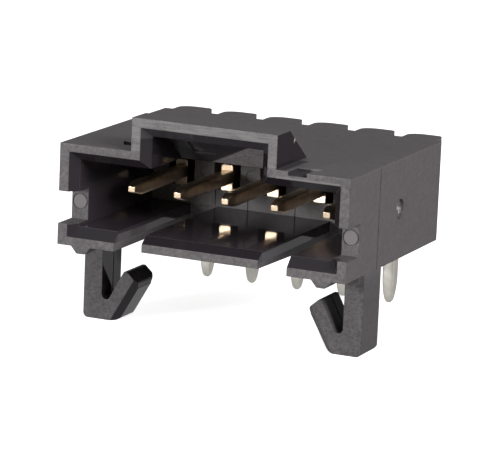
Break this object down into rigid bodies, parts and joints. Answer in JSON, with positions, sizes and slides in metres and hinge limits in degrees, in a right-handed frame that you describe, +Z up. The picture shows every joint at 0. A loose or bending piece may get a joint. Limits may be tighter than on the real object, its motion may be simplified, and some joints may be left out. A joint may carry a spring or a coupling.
{
  "type": "shrouded board header",
  "caption": "Right-angle shrouded pin header with a raised keyway, a slotted floor and J-shaped board hooks.",
  "frame": {"origin": "on the board's surface, in the middle of the row of solder tails", "axes": "+X along the row of contacts, -Y out of the mating mouth, +Z up from the board"},
  "size_m": [0.0152, 0.013, 0.0107],
  "materials": {
    "housing_plastic": "fine moulded texture outside, smooth inside",
    "contact_metal": "gold-plated post, tin-plated tail"
  },
  "bodies": {
    "root": {"housing": "housing_plastic", "contact_1": "contact_metal", "contact_2": "contact_metal", "contact_3": "contact_metal", "contact_4": "contact_metal", "contact_5": "contact_metal"}
  },
  "joints": []
}
